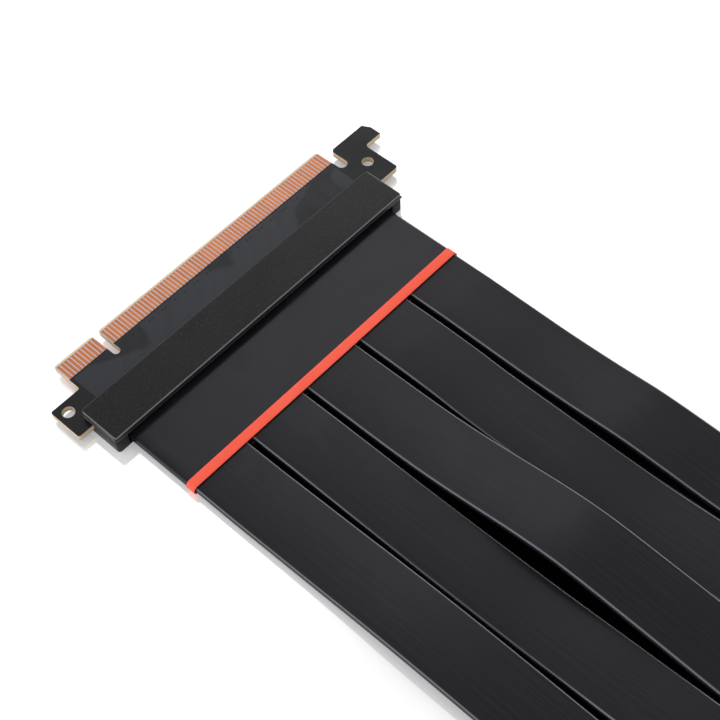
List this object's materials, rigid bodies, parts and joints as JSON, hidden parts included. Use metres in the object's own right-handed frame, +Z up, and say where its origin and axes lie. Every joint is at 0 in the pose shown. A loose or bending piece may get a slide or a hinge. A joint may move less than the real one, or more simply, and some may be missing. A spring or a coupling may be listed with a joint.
{
  "type": "gpu riser cable",
  "caption": "Flat shielded extension cable for a graphics card: an edge plug board at one end, a card slot with a latch at the other, split ribbons between moulded covers",
  "frame": {"origin": "On the surface that the cable lies on, under the middle of its bounding box", "axes": "+X along the connectors from pin 1 to the card's hook, +Y from the slot end to the edge plug, the way the plug goes in, +Z up out of the slot's mouth"},
  "size_m": [0.109, 0.2998, 0.0176],
  "materials": {
    "circuit_board": "satin black solder mask over glass laminate, copper-coloured contacts",
    "cover_plastic": "finely textured black moulded plastic",
    "sleeve_film": "satin black wrap",
    "orange_band": "satin orange-red band",
    "ribbon_jacket": "satin black shield jacket",
    "wire_insulation": "smooth off-white insulation",
    "slot_plastic": "black moulded plastic with gold contact springs",
    "latch_plastic": "black moulded plastic"
  },
  "bodies": {
    "riser": {"plug_board": "circuit_board", "plug_cover_top": "cover_plastic", "plug_cover_bottom": "cover_plastic", "plug_sleeve": "sleeve_film", "plug_band": "orange_band", "plug_wires_1": "wire_insulation", "plug_wires_2": "wire_insulation", "plug_wires_3": "wire_insulation", "plug_wires_4": "wire_insulation", "plug_wires_5": "wire_insulation", "ribbon_1": "ribbon_jacket", "ribbon_2": "ribbon_jacket", "ribbon_3": "ribbon_jacket", "ribbon_4": "ribbon_jacket", "ribbon_5": "ribbon_jacket", "slot_board": "circuit_board", "slot_housing": "slot_plastic", "slot_cover_top": "cover_plastic", "slot_cover_bottom": "cover_plastic", "slot_sleeve": "sleeve_film", "slot_band": "orange_band", "slot_wires_1": "wire_insulation", "slot_wires_2": "wire_insulation", "slot_wires_3": "wire_insulation", "slot_wires_4": "wire_insulation", "slot_wires_5": "wire_insulation"},
    "latch": {"slot_latch": "latch_plastic"}
  },
  "joints": [
    {"name": "latch_pivot", "type": "hinge", "parent": "riser", "child": "latch", "pos_m": [0.04317, -0.14233, 0.0056], "axis": [0, 1, 0], "range_deg": [0, 35]}
  ]
}
